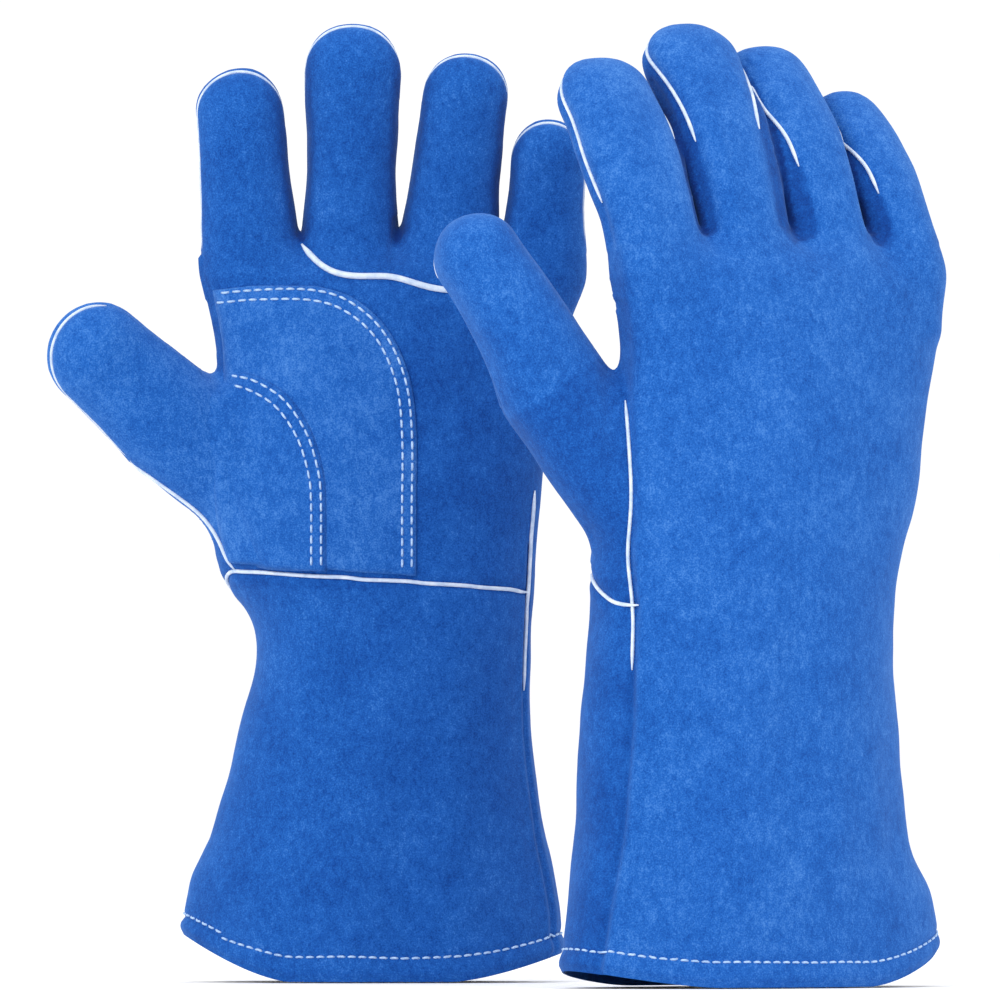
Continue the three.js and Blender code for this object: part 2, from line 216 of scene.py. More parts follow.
class Digit:
    """A finger or thumb: its joint, its directions, and the arc that its middle line follows."""

    def __init__(self, glove, name, numbers):
        self.name = name
        lean, flex, self.length, self.width, self.depth, curl, self.flare = numbers
        self.cap = self.length - self.width
        self.curl = math.radians(curl)
        self.bellied = curl > 30
        unlike = UNLIKE.get(f"{glove.name}_{name}", {})
        self.waist = unlike.get("waist", STALL_WAIST)
        self.skew = unlike.get("skew", 0)
        self.sag = unlike.get("sag", 0)
        self.seam = unlike.get("seam", 0.04 if self.bellied else -0.1)
        turn = Matrix.Rotation(-math.radians(lean), 3, "Y") @ Matrix.Rotation(math.radians(flex), 3, "X")
        self.turn = np.array(turn)
        joint = JOINTS[f"{glove.name}_{name}_fold"]
        place = glove.to_local(np.array(joint["pos_m"]) / MM)
        self.start = place + self.turn @ np.array([0, self.depth * 0.5, 0])
        self.along = self.turn[:, 2]

    def unroll(self, points):
        """Across the width, towards the back, and along the arc, for points of the glove."""
        q = (points - self.start) @ self.turn
        radius = self.length / self.curl
        angle = np.arctan2(q[..., 2], q[..., 1] + radius)
        across = np.hypot(q[..., 2], q[..., 1] + radius) - radius
        straight = q[..., 2] < 0
        across = np.where(straight, q[..., 1], across)
        along = np.where(straight, q[..., 2], radius * angle)
        return q[..., 0], across, along

    def roll(self, x, across, along):
        """The other way: a point of the glove from its place on the digit."""
        radius = self.length / self.curl
        angle = np.maximum(along, 0) / radius
        y = (radius + across) * np.cos(angle) - radius
        z = np.where(along < 0, along, (radius + across) * np.sin(angle))
        return np.stack([x, y, z], axis=-1) @ self.turn.T + self.start

    def half_width(self, along):
        """The stall flares at its root, is slimmer in the middle and fuller at its tip."""
        share = np.clip(along / self.length, 0, 1)
        waist = 1 - self.waist * np.sin(math.pi * np.clip(share / WAIST_END, 0, 1))
        belly = hump(along, *BELLY) if self.bellied else 0
        return self.width * waist + self.flare * (1 - share) ** 2 + belly

    def distance(self, points):
        """Roughly how far points are outside the stall, negative inside it."""
        x, y, s = self.unroll(points)
        root = (1 - np.clip(s / self.length, 0, 1)) ** 2
        x = x + self.skew * root
        y = y + self.sag * root
        slimmer, shallow, deep = BURIED
        buried = 1 - slimmer * smooth_step(-s, shallow, deep) * (self.name != "thumb")
        width = self.half_width(s) * buried
        depth = self.depth * buried * (1 + 0.3 * self.flare / self.width * root)
        beyond = np.maximum(s - self.cap, 0)
        k = np.sqrt((x / width) ** 2 + (y / depth) ** 2 + (beyond / self.width) ** 2) + 1e-6
        slope = np.sqrt((x / width**2) ** 2 + (y / depth**2) ** 2 + (beyond / self.width**2) ** 2) / k
        boxy = 1 - BOXY * np.abs(x * y) / (width * depth * k * k + 1e-6)
        skin = (k * boxy - 1) / np.maximum(slope, 1e-3)
        return np.maximum(skin, -s - ROOT_REACH[self.name == "thumb"])


class Glove:
    """One glove's tube and digits, and the way between its coordinates and the CAD's."""

    def __init__(self, name):
        table = GLOVES[name]
        self.name = name
        self.rows = np.array(table["rows"], float)
        self.rise = table["rise"]
        self.top = table["top"]
        wrist = JOINTS[f"{name}_wrist"]
        sign = 1 if name == "left" else -1
        x_axis = Vector(wrist["axis"]) * sign
        y_axis = Vector((-x_axis.y, x_axis.x, 0)) * sign
        self.basis = np.array([x_axis, y_axis, Vector((0, 0, 1))]).T
        self.mirrored = name == "right"
        self.origin = np.array(wrist["pos_m"]) / MM - self.basis @ np.array(WRIST_JOINT)
        self.digits = [Digit(self, digit, numbers) for digit, numbers in table["digits"].items()]
        self.thumb, self.fingers = self.digits[0], self.digits[1:]

    def to_local(self, points):
        return (np.asarray(points) - self.origin) @ self.basis

    def to_world(self, points):
        """From the glove's coordinates to metres in the CAD's frame."""
        return (np.asarray(points) @ self.basis.T + self.origin) * MM

    def section(self, height):
        """Middle, half width and half depth of the tube at a height."""
        z = self.rows[:, 0]
        return [smooth_table(height, z, self.rows[:, k]) for k in (1, 2, 3)]

    def hem(self, side):
        """How far the hem rises at a given cosine of the angle round the cuff."""
        beyond = np.maximum(0, np.abs(side) - HEM_FLAT) / (1 - HEM_FLAT)
        return np.where(side < 0, self.rise[0], self.rise[1]) * beyond**1.5

    def on_tube(self, angle, height, offset=0.0):
        """A point of the tube's surface, moved outwards by an offset."""
        middle, width, depth = self.section(height)
        c, s = np.cos(angle), np.sin(angle)
        height = height + self.hem(c) * np.maximum(0, 1 - height / HEM_RISE_HEIGHT)
        return np.stack([middle + (width + offset) * c, (depth + offset) * s, height], axis=-1)

    def tube_distance(self, points):
        middle, width, depth = self.section(points[..., 2])
        x, y = points[..., 0] - middle, points[..., 1]
        k = np.sqrt((x / width) ** 2 + (y / depth) ** 2) + 1e-6
        slope = np.sqrt((x / width**2) ** 2 + (y / depth**2) ** 2) / k
        return (k - 1) / np.maximum(slope, 1e-3)

    def angle(self, points):
        """Direction round the tube in degrees, from -90 on the palm to 270."""
        middle, width, depth = self.section(points[..., 2])
        angle = np.degrees(np.arctan2(points[..., 1] / depth, (points[..., 0] - middle) / width))
        return np.where(angle < -90, angle + 360, angle)

    def seam_side(self, points):
        """Positive on the back panel's side of the side seams."""
        angle = self.angle(points)
        x, y, z = points[..., 0], points[..., 1], points[..., 2]
        low = np.interp(z, SEAM_HEIGHTS, SEAM_ANGLES) - angle
        high = np.where(y > -5, x - self.back_edge(z), -20)
        thumb_seam = low + (high - low) * smooth_step(z, *SEAM_TURN)
        return np.minimum(angle - SEAM_PINKY_SIDE, thumb_seam)

    def back_edge(self, height):
        """How far across the back panel's thumb-side edge lies."""
        middle, width, _ = self.section(height)
        return middle + width * np.cos(np.radians(np.interp(height, SEAM_HEIGHTS, SEAM_ANGLES)))


def wrist_height(angle):
    return np.interp(angle, WRIST_ANGLES, WRIST_HEIGHTS)


def smooth_table(x, xs, ys):
    """Cubic interpolation of a short table, with slopes from its neighbours."""
    slopes = np.gradient(ys, xs)
    i = np.clip(np.searchsorted(xs, x) - 1, 0, len(xs) - 2)
    h = xs[i + 1] - xs[i]
    t = np.clip((x - xs[i]) / h, 0, 1)
    a = (1 + 2 * t) * (1 - t) ** 2 * ys[i] + t * (1 - t) ** 2 * h * slopes[i]
    b = t * t * (3 - 2 * t) * ys[i + 1] + t * t * (t - 1) * h * slopes[i + 1]
    return a + b


def smooth_min(a, b, reach):
    """The lesser of two distances, rounded where they are nearly equal."""
    h = np.maximum(reach - np.abs(a - b), 0) / reach
    return np.minimum(a, b) - h * h * reach / 4


def smooth_step(x, low, high):
    t = np.clip((x - low) / (high - low), 0, 1)
    return t * t * (3 - 2 * t)


def hump(x, height, middle, half_width):
    """A rounded ridge, or a groove where the height is negative."""
    return height * np.exp(-((x - middle) / half_width) ** 2)


# ---- skin

def glove_field(glove):
    """Distance to the glove's skin on a grid of points, and the grid's lowest corner."""
    low = np.array(GRID_LOW)
    axes = [np.arange(a, b, CELL) for a, b in zip(GRID_LOW, GRID_HIGH)]
    grid = np.stack(np.meshgrid(*axes, indexing="ij"), axis=-1)
    hand = glove.tube_distance(grid)
    top = grid[..., 2] - glove.top
    hand = -smooth_min(-hand, -top, TOP_ROUNDING)
    fingers = np.full(hand.shape, 30.0)
    upper = axes[2] > FINGERS_FROM
    for finger in glove.fingers:
        near = finger.distance(grid[:, :, upper])
        fingers[:, :, upper] = smooth_min(fingers[:, :, upper], near, FINGER_REACH)
    field = smooth_min(hand, fingers, JOIN_REACH)
    middle = (axes[2] > THUMB_SPAN[0]) & (axes[2] < THUMB_SPAN[1])
    near = glove.thumb.distance(grid[:, :, middle])
    field[:, :, middle] = smooth_min(field[:, :, middle], near, JOIN_REACH)
    return field, low


def surface_net(field, low):
    """Quads round the zero level of a grid of distances, open where the level meets the grid's floor."""
    inside = field < 0
    shape = np.array(field.shape) - 1
    corners = [(i, j, k) for i in (0, 1) for j in (0, 1) for k in (0, 1)]
    count = sum(at_corner(inside, c).astype(int) for c in corners)
    mixed = (count > 0) & (count < 8)
    number = np.full(shape, -1)
    number[mixed] = np.arange(mixed.sum())
    points = (np.argwhere(mixed) + crossing_middles(field, mixed, corners)) * CELL + low
    quads = []
    for axis in range(3):
        first = np.take(inside, range(0, inside.shape[axis] - 1), axis)
        second = np.take(inside, range(1, inside.shape[axis]), axis)
        quads.append(crossed_quads(first & ~second, number, axis))
        quads.append(crossed_quads(~first & second, number, axis)[:, ::-1])
    return points, np.concatenate(quads)


def at_corner(grid, corner):
    """The grid's values at one of the eight corners of every cell."""
    i, j, k = corner
    across, deep, high = (size - 1 for size in grid.shape)
    return grid[i:i + across, j:j + deep, k:k + high]


def crossing_middles(field, mixed, corners):
    """For each mixed cell, the middle of the places where its edges cross the zero level."""
    total = np.zeros((mixed.sum(), 3))
    crossings = np.zeros(len(total))
    for a in corners:
        for axis in range(3):
            if a[axis]:
                continue
            b = tuple(v + (n == axis) for n, v in enumerate(a))
            va, vb = at_corner(field, a)[mixed], at_corner(field, b)[mixed]
            crosses = (va < 0) != (vb < 0)
            t = np.where(crosses, va / np.where(crosses, va - vb, 1), 0)
            point = np.array(a, float) + t[:, None] * np.eye(3)[axis]
            total += np.where(crosses[:, None], point, 0)
            crossings += crosses
    return total / crossings[:, None]


def crossed_quads(edge, number, axis):
    """A quad of cells round each crossed edge of the grid along one axis."""
    u, v = (axis + 1) % 3, (axis + 2) % 3
    at = np.argwhere(edge)
    at = at[(at[:, u] > 0) & (at[:, v] > 0) & (at[:, u] < number.shape[u]) & (at[:, v] < number.shape[v])]
    ring = []
    for du, dv in ((1, 1), (0, 1), (0, 0), (1, 0)):
        cell = at.copy()
        cell[:, u] -= du
        cell[:, v] -= dv
        ring.append(number[cell[:, 0], cell[:, 1], cell[:, 2]])
    return np.stack(ring, axis=1)


def vertex_normals(points, faces):
    a, b, c, d = (points[faces[:, k]] for k in range(4))
    face = np.cross(c - a, d - b)
    normals = np.zeros_like(points)
    for k in range(4):
        np.add.at(normals, faces[:, k], face)
    return normals / np.maximum(np.linalg.norm(normals, axis=1), 1e-9)[:, None]


def level(normals, rim, points, glove):
    """Directions at the hem are those of the tube, so that its edge stays clean."""
    middle, width, depth = glove.section(np.zeros(rim.sum()))
    across = (points[rim, 0] - middle) / width**2
    through = points[rim, 1] / depth**2
    length = np.hypot(across, through)
    normals[rim] = np.stack([across / length, through / length, np.zeros(len(length))], axis=1)
    return normals


def relax(points, faces, fixed, rounds, strength=0.5):
    """Moves points towards the middle of their neighbours, apart from the fixed ones."""
    edges = np.concatenate([faces[:, [k, (k + 1) % 4]] for k in range(4)])
    count = np.bincount(edges.ravel(), minlength=len(points))
    for _ in range(rounds):
        total = np.zeros_like(points)
        np.add.at(total, edges[:, 0], points[edges[:, 1]])
        np.add.at(total, edges[:, 1], points[edges[:, 0]])
        average = total / np.maximum(count, 1)[:, None]
        points = np.where(fixed[:, None], points, points + strength * (average - points))
    return points


def dents(points, height, size, seed):
    """Soft unevenness, different for each seed."""
    offset = Vector((seed * 13.7, seed * 5.1, seed * 9.3))
    return height * np.array([noise.noise(Vector(p) / size + offset) for p in points])


class Skin:
    """The whole outer surface of one glove, and which piece of leather each face belongs to."""

    def __init__(self, glove, seed):
        self.glove = glove
        points, faces = surface_net(*glove_field(glove))
        rim = points[:, 2] < CELL * 0.9
        points = relax(points, faces, rim, 4)
        points[rim, 2] = 0
        self.faces = faces
        normals = level(vertex_normals(points, faces), rim, points, glove)
        self.measure(points)
        points = points + normals * self.swell(points, seed)[:, None]
        middle, width, _ = glove.section(points[:, 2])
        side = np.clip((points[:, 0] - middle) / width, -1, 1)
        points[:, 2] += glove.hem(side) * np.maximum(0, 1 - points[:, 2] / HEM_RISE_HEIGHT)
        self.points = points
        self.normals = level(vertex_normals(points, faces), rim, points, glove)
        self.tree = BVHTree.FromPolygons([Vector(p) for p in points], faces.tolist())

    def measure(self, points):
        """For each point: its digit, whether it is on the back, and how near it is to a seam."""
        glove = self.glove
        self.owner = np.zeros(len(points), int)
        side = glove.seam_side(points)
        self.back = side > 0
        self.seam_gap = np.where(points[:, 2] < HAND_TOP - 14, np.abs(side) * 1.1, FAR)
        around = glove.angle(points)
        around = np.where(around < 90, around + 360, around)
        self.above_wrist = points[:, 2] > wrist_height(around)
        wrist = np.where(side < 0, np.abs(points[:, 2] - wrist_height(around)), FAR)
        self.seam_gap = np.minimum(self.seam_gap, wrist)
        nearest = np.full(len(points), 5.0)
        for index, digit in enumerate(glove.digits, 1):
            nearest = self.claim(points, index, digit, nearest)

    def claim(self, points, index, digit, nearest):
        """Gives a digit the points that lie nearer to it than to the digits before it."""
        x, y, s = digit.unroll(points)
        thumb = digit.name == "thumb"
        reach = 10 if thumb else 8
        start = -4 if thumb else 0
        mine = (s > start) & (np.abs(x) < digit.width + reach) & (np.abs(y) < digit.depth + reach)
        gap = digit.distance(points)
        mine &= gap < nearest
        self.owner[mine] = index
        near = mine | ((s > -14) & (np.abs(x) < digit.width + 2) & (np.abs(y) < digit.depth + 4))
        seam = seam_height(digit, x, s)
        self.back = np.where(mine, y > seam, self.back)
        beside = (np.abs(x) > digit.width * 0.35) | (s > digit.cap)
        seam_gap = np.where(beside, np.abs(y - seam), FAR)
        self.seam_gap = np.where(near & (s > 2), np.minimum(self.seam_gap, seam_gap), self.seam_gap)
        return np.where(mine, gap, nearest)

    def swell(self, points, seed):
        """How far the leather stands out from its plain form: dents, folds, seams and the hem."""
        side = self.glove.seam_side(points)
        height = points[:, 2]
        swell = dents(points, *BROAD_DENTS, seed) + dents(points, *SMALL_DENTS, seed + 1)
        folds = dents(points * FOLD_STRETCH, *CUFF_FOLDS, seed + 2)
        swell += folds * smooth_step(-height, -FOLDS_END[1], -FOLDS_END[0])
        swell += hump(self.seam_gap, *SEAM_GROOVE) + hump(self.seam_gap, *SEAM_RIDGE)
        between = np.interp(height, (296, 316), (8, 10.7))
        front = (points[:, 1] < 0) & (height > 297) & (height < 322)
        swell += front * hump(points[:, 0] - between, *FINGER_GROOVE)
        thumb_side = self.glove.angle(points) > 90
        edge = np.where(thumb_side & (self.owner == 0), side * 1.15, FAR)
        swell += LAP * smooth_step(edge, -0.5, 2.5) * (1 - smooth_step(edge, 6, 34))
        swell -= LAP * smooth_step(-edge, -0.5, 2.0) * (1 - smooth_step(-edge, 3, 16))
        return swell + hump(height, *HEM_ROLL) + hump(height, *STITCH_GROOVE) + hump(height, *HEM_EDGE)

    def in_front(self, x, z):
        """The skin as seen from in front of the palm."""
        place, normal, _, _ = self.tree.ray_cast(Vector((x, -120, z)), Vector((0, 1, 0)))
        if place is None:
            return self.on((x, -20, z))
        return np.array(place), np.array(normal)

    def behind(self, x, z):
        """The skin's place as seen from behind the back of the hand."""
        place = self.tree.ray_cast(Vector((x, 120, z)), Vector((0, -1, 0)))[0]
        return np.array(place) if place else self.on((x, 20, z))[0]

    def on(self, point):
        """Nearest point of the skin and its outward direction."""
        place, normal, _, _ = self.tree.find_nearest(Vector(point))
        return np.array(place), np.array(normal)


def inner_side(digit, x):
    """1 on the sides of a finger that face another finger, where a side strip is sewn in."""
    if digit.name == "index":
        return np.where(np.asarray(x) > 0, 1.0, 0.0)
    if digit.name == "pinky":
        return np.where(np.asarray(x) < 0, 1.0, 0.0)
    return np.ones(np.shape(x))


def seam_height(digit, x, s):
    """How far behind the middle of a digit the back panel's seam runs."""
    if digit.name == "thumb":
        return np.full(np.shape(s), digit.depth * digit.seam)
    share = np.clip(s / digit.length, 0, 1)
    thumb_side, far_side = STRIPS[digit.name] if digit.bellied else (STRIP_SIDE, STRIP_SIDE)
    strip = np.where(np.asarray(x) > 0, far_side, thumb_side) * inner_side(digit, x)
    return digit.depth * (digit.seam + strip * (1 - smooth_step(share, *STRIP_ENDS)))


# ---- pieces

def add_mesh(name, glove, points, faces, material, normals=None):
    """A smooth mesh from points in the glove's coordinates."""
    world = glove.to_world(points)
    faces = [tuple(int(v) for v in face) for face in faces]
    if glove.mirrored:
        faces = [face[::-1] for face in faces]
    mesh = bpy.data.meshes.new(name)
    mesh.from_pydata(world.tolist(), [], faces)
    mesh.polygons.foreach_set("use_smooth", [True] * len(faces))
    mesh.update()
    mesh.materials.append(material)
    if normals is not None:
        turned = normals @ glove.basis.T
        mesh.normals_split_custom_set_from_vertices(turned.tolist())
    piece = bpy.data.objects.new(name, mesh)
    bpy.context.scene.collection.objects.link(piece)
    return piece


def leather(name, skin, chosen, material):
    """The chosen faces of the skin as one closed piece of leather with a thickness."""
    faces = skin.faces[chosen]
    used = np.unique(faces)
    renumber = np.full(len(skin.points), -1)
    renumber[used] = np.arange(len(used))
    outer = renumber[faces]
    count = len(used)
    points, normals = skin.points[used], skin.normals[used]
    inside = points - normals * LEATHER
    edges = np.concatenate([outer[:, [k, (k + 1) % 4]] for k in range(4)])
    keys = edges[:, 0] * count + edges[:, 1]
    reverse = edges[:, 1] * count + edges[:, 0]
    border = edges[~np.isin(keys, reverse)]
    rim = np.stack([border[:, 1], border[:, 0], border[:, 0] + count, border[:, 1] + count], axis=1)
    all_faces = np.concatenate([outer, outer[:, ::-1] + count, rim])
    all_points = np.concatenate([points, inside])
    all_normals = np.concatenate([normals, -normals])
    return add_mesh(name, skin.glove, all_points, all_faces, material, all_normals)


def tube_mesh(points, radius, sides=8):
    """Points and faces of a closed tube along a path, with one radius or one for each point."""
    points = np.asarray(points, float)
    ahead = np.gradient(points, axis=0)
    ahead /= np.linalg.norm(ahead, axis=1)[:, None]
    across = np.cross(ahead[0], [0.31, 0.57, 0.76])
    verts = []
    radii = np.broadcast_to(radius, len(points))
    for i, (p, d) in enumerate(zip(points, ahead)):
        across = across - d * (across @ d)
        across /= np.linalg.norm(across)
        up = np.cross(d, across)
        for k in range(sides):
            turn = 2 * math.pi * k / sides
            verts.append(p + radii[i] * (math.cos(turn) * across + math.sin(turn) * up))
    last = (len(points) - 1) * sides
    ends = [tuple(range(sides))[::-1], tuple(last + k for k in range(sides))]
    return np.array(verts), ring_quads(len(points), sides) + ends


def ring_quads(rings, around):
    """Quads between neighbouring rings of points."""
    quads = []
    for ring in range(rings - 1):
        for k in range(around):
            a, b = ring * around + k, ring * around + (k + 1) % around
            quads.append((a, b, b + around, a + around))
    return quads


def resample(points, step):
    """Evenly spaced points along a path."""
    points = np.asarray(points, float)
    length = np.concatenate([[0], np.cumsum(np.linalg.norm(np.diff(points, axis=0), axis=1))])
    count = max(3, int(round(length[-1] / step)) + 1)
    at = np.linspace(0, length[-1], count)
    return np.stack([np.interp(at, length, column) for column in points.T], axis=1)


def laid(skin, points, step, lift, rounds):
    """A path pressed onto the skin, lifted a little, and smoothed."""
    placed = []
    for point in resample(points, step):
        place, normal = skin.on(point)
        placed.append(place + normal * lift)
    placed = np.array(placed)
    for _ in range(rounds):
        placed[1:-1] = placed[1:-1] * 0.5 + (placed[:-2] + placed[2:]) * 0.25
    return placed


def piping(name, skin, points, digit=None, radius=PIPING_RADIUS, lift=0.35, rounds=3):
    """A welt along a path on the skin, thinner at its two ends."""
    path = laid(skin, points, PIPING_STEP, radius * lift, rounds)
    order = np.arange(len(path))
    from_end = np.minimum(order, order[::-1])
    taper = np.minimum(1, 0.35 + from_end / 4)
    verts, faces = tube_mesh(path, radius * taper)
    piece = add_mesh(name, skin.glove, verts, faces, PIPING)
    bend(piece, skin.glove, digit)
    return piece


def stitches(name, skin, surface, points, pitch=4.9, dash=3.3, radius=0.5):
    """A row of separate thread dashes along a path on a surface. Their ends dip into the leather."""
    step = 0.5
    path = resample(points, step)
    per_dash = int(dash / step)
    all_verts, all_faces = [], []
    total = 0
    for start in range(2, len(path) - per_dash, int(pitch / step)):
        dash_points = path[start:start + per_dash + 1][::2]
        placed = []
        for i, point in enumerate(dash_points):
            place, normal = surface(point)
            end = i in (0, len(dash_points) - 1)
            placed.append(place + normal * (-0.35 if end else 0.3))
        verts, faces = tube_mesh(placed, radius, 6)
        all_verts.append(verts)
        all_faces += [tuple(v + total for v in face) for face in faces]
        total += len(verts)
    thread = add_mesh(name, skin.glove, np.concatenate(all_verts), all_faces, THREAD)
    return thread


def smooth_curve(corners, count=60):
    """A smooth open curve through points in the plane of the palm."""
    corners = np.array(corners, float)
    t = np.linspace(0, len(corners) - 1, count)
    xs = np.arange(len(corners), dtype=float)
    return np.stack([smooth_table(t, xs, corners[:, k]) for k in (0, 1)], axis=1)


class Applique:
    """A flat outline laid on the palm as a second layer of leather, which sinks into it where it fades."""

    def __init__(self, skin, outline, thickness, fade):
        self.skin = skin
        self.outline = np.asarray(outline)
        self.thickness = thickness
        self.fade = fade
        self.build()

    def edge_distance(self, flat):
        """How far flat points are from the outline."""
        a = self.outline
        b = np.roll(a, -1, axis=0)
        d = b - a
        t = ((flat[:, None] - a) * d).sum(-1) / np.maximum((d * d).sum(-1), 1e-9)
        nearest = a + np.clip(t, 0, 1)[..., None] * d
        return np.linalg.norm(flat[:, None] - nearest, axis=-1).min(axis=1)

    def build(self):
        """Fills the outline with triangles."""
        low, high = self.outline.min(axis=0), self.outline.max(axis=0)
        xs, zs = (np.arange(a, b, LAYER_CELL) for a, b in zip(low, high))
        inside = np.array([(x, z) for x in xs for z in zs if self.holds(x, z)])
        inside = inside[self.edge_distance(inside) > LAYER_CELL * 0.6]
        rim = resample(np.vstack([self.outline, self.outline[:1]]), LAYER_RIM)[:-1]
        flat = [Vector(point) for point in np.vstack([rim, inside])]
        edges = [(i, (i + 1) % len(rim)) for i in range(len(rim))]
        verts, _, self.faces, _, _, _ = delaunay_2d_cdt(flat, edges, [], 1, 1e-4)
        self.flat = np.array([tuple(v) for v in verts])

    def holds(self, x, z):
        """Whether the outline goes round a point."""
        a = self.outline
        b = np.roll(a, -1, axis=0)
        crosses = (a[:, 1] > z) != (b[:, 1] > z)
        dz = np.where(b[:, 1] == a[:, 1], 1e-9, b[:, 1] - a[:, 1])
        at = a[:, 0] + (z - a[:, 1]) / dz * (b[:, 0] - a[:, 0])
        return (np.count_nonzero(crosses & (x < at)) % 2) == 1

    def height(self, flat):
        """Outer height of the layer over the skin: full inside, rounded down at its edges."""
        raised = self.thickness * (0.6 + 0.4 * smooth_step(self.edge_distance(flat), 0, 1.5))
        fade = self.fade(flat)
        return raised * fade - 0.6 * (1 - fade)

    def surface(self, point):
        """The layer's outer surface in front of a point of the palm, for its stitches."""
        place, normal = self.skin.in_front(point[0], point[2])
        raised = float(self.height(np.array([[point[0], point[2]]]))[0])
        return place + normal * raised, normal

    def piece(self, name, material):
        placed = [self.skin.in_front(x, z) for x, z in self.flat]
        base = np.array([p for p, _ in placed])
        normals = np.array([n for _, n in placed])
        raised = self.height(self.flat)
        outer = base + normals * raised[:, None]
        inner = base - normals * 0.7
        count = len(base)
        faces = []
        for face in self.faces:
            a, b, c = (self.flat[i] for i in face[:3])
            turns = (b[0] - a[0]) * (c[1] - a[1]) - (b[1] - a[1]) * (c[0] - a[0])
            face = tuple(face) if turns > 0 else tuple(face)[::-1]
            faces.append(face)
            faces.append(tuple(i + count for i in face[::-1]))
        sides = [(a, face[(i + 1) % len(face)]) for face in faces[::2] for i, a in enumerate(face)]
        known = set(sides)
        faces += [(b, a, a + count, b + count) for a, b in sides if (b, a) not in known]
        return add_mesh(name, self.skin.glove, np.concatenate([outer, inner]), faces, material)


# ---- materials

def srgb(red, green, blue):
    """A colour as linear light, from its usual 0 to 255 numbers."""
    def linear(value):
        value /= 255
        return value / 12.92 if value <= 0.04045 else ((value + 0.055) / 1.055) ** 2.4
    return (linear(red), linear(green), linear(blue), 1)


def new_material(name, roughness):
    material = bpy.data.materials.new(name)
    material.use_nodes = True
    shader = material.node_tree.nodes["Principled BSDF"]
    shader.inputs["Roughness"].default_value = roughness
    return material, shader


class Nodes:
    """Short ways of adding and joining shader nodes of one material."""

    def __init__(self, material):
        self.tree = material.node_tree
        self.place = self.add("ShaderNodeTexCoord").outputs["Object"]

    def add(self, kind, **settings):
        node = self.tree.nodes.new(kind)
        for key, value in settings.items():
            setattr(node, key, value)
        return node

    def link(self, source, target):
        self.tree.links.new(source, target)

    def noise(self, scale, detail=3.0, roughness=0.55, stretch=None, seed=0.0):
        mapping = self.add("ShaderNodeMapping")
        mapping.inputs["Location"].default_value = (seed, seed * 0.7, seed * 1.3)
        if stretch:
            mapping.inputs["Scale"].default_value = stretch
        self.link(self.place, mapping.inputs["Vector"])
        node = self.add("ShaderNodeTexNoise")
        node.inputs["Scale"].default_value = scale
        node.inputs["Detail"].default_value = detail
        node.inputs["Roughness"].default_value = roughness
        self.link(mapping.outputs["Vector"], node.inputs["Vector"])
        return node.outputs["Fac"]

    def math(self, operation, a, b):
        node = self.add("ShaderNodeMath", operation=operation)
        for socket, value in zip(node.inputs, (a, b)):
            if isinstance(value, (int, float)):
                socket.default_value = value
            else:
                self.link(value, socket)
        return node.outputs[0]

    def ramp(self, source, stops):
        node = self.add("ShaderNodeValToRGB")
        ramp = node.color_ramp
        while len(ramp.elements) < len(stops):
            ramp.elements.new(0.5)
        for element, (at, colour) in zip(ramp.elements, stops):
            element.position = at
            element.color = colour
        self.link(source, node.inputs["Fac"])
        return node.outputs["Color"]

    def bump(self, height, strength, distance, under=None):
        node = self.add("ShaderNodeBump")
        node.inputs["Strength"].default_value = strength
        node.inputs["Distance"].default_value = distance
        self.link(height, node.inputs["Height"])
        if under is not None:
            self.link(under, node.inputs["Normal"])
        return node.outputs["Normal"]


def suede(name):
    """Dyed split leather: cloudy blue where the nap lies different ways, with a fine fuzzy grain."""
    material, shader = new_material(name, 0.92)
    nodes = Nodes(material)
    value = nodes.add("ShaderNodeAttribute", attribute_name="tone").outputs["Fac"]
    mottle = nodes.noise(150, 4, 0.62, seed=3)
    clouds = [
        (nodes.noise(38, 3, 0.55), 0.34),
        (mottle, 0.26),
        (nodes.noise(420, 3, 0.6, stretch=(1, 1, 0.6), seed=5), 0.42),
        (nodes.noise(1500, 2, 0.6, seed=7), 0.8),
    ]
    for cloud, share in clouds:
        centred = nodes.math("SUBTRACT", cloud, 0.5)
        value = nodes.math("ADD", value, nodes.math("MULTIPLY", centred, share))
    colour = nodes.ramp(value, [
        (0.0, srgb(2, 40, 108)),
        (0.32, srgb(10, 66, 142)),
        (0.55, srgb(26, 88, 168)),
        (0.8, srgb(66, 119, 190)),
        (1.0, srgb(108, 152, 210)),
    ])
    nodes.link(colour, shader.inputs["Base Color"])
    relief = nodes.bump(mottle, 0.25, 0.0012)
    relief = nodes.bump(nodes.noise(620, 3, 0.65, seed=9), 0.35, 0.0004, relief)
    relief = nodes.bump(nodes.noise(2400, 2, 0.6, seed=11), 0.4, 0.00015, relief)
    nodes.link(relief, shader.inputs["Normal"])
    shader.inputs["Specular IOR Level"].default_value = 0.12
    shader.inputs["Sheen Weight"].default_value = 0.22
    shader.inputs["Sheen Roughness"].default_value = 0.55
    shader.inputs["Sheen Tint"].default_value = srgb(150, 195, 255)
    return material


def trim(name, light, dark, roughness, scale, depth):
    """Thin trim with a little unevenness: piping leather, sewing thread or lining canvas."""
    material, shader = new_material(name, roughness)
    nodes = Nodes(material)
    spots = nodes.noise(scale, 4, 0.6)
    nodes.link(nodes.ramp(spots, [(0.3, dark), (0.62, light)]), shader.inputs["Base Color"])
    nodes.link(nodes.bump(nodes.noise(scale * 3, 3, 0.6, seed=2), 0.5, depth), shader.inputs["Normal"])
    shader.inputs["Specular IOR Level"].default_value = 0.25
    return material


SUEDE = suede("blue_suede")
PIPING = trim("white_piping_leather", srgb(208, 218, 232), srgb(168, 188, 216), 0.6, 220, 0.0003)
THREAD = trim("white_thread", srgb(176, 202, 234), srgb(140, 172, 214), 0.7, 500, 0.0002)
CANVAS = trim("lining_canvas", srgb(226, 224, 216), srgb(200, 198, 190), 0.9, 700, 0.0003)


# ---- assembly

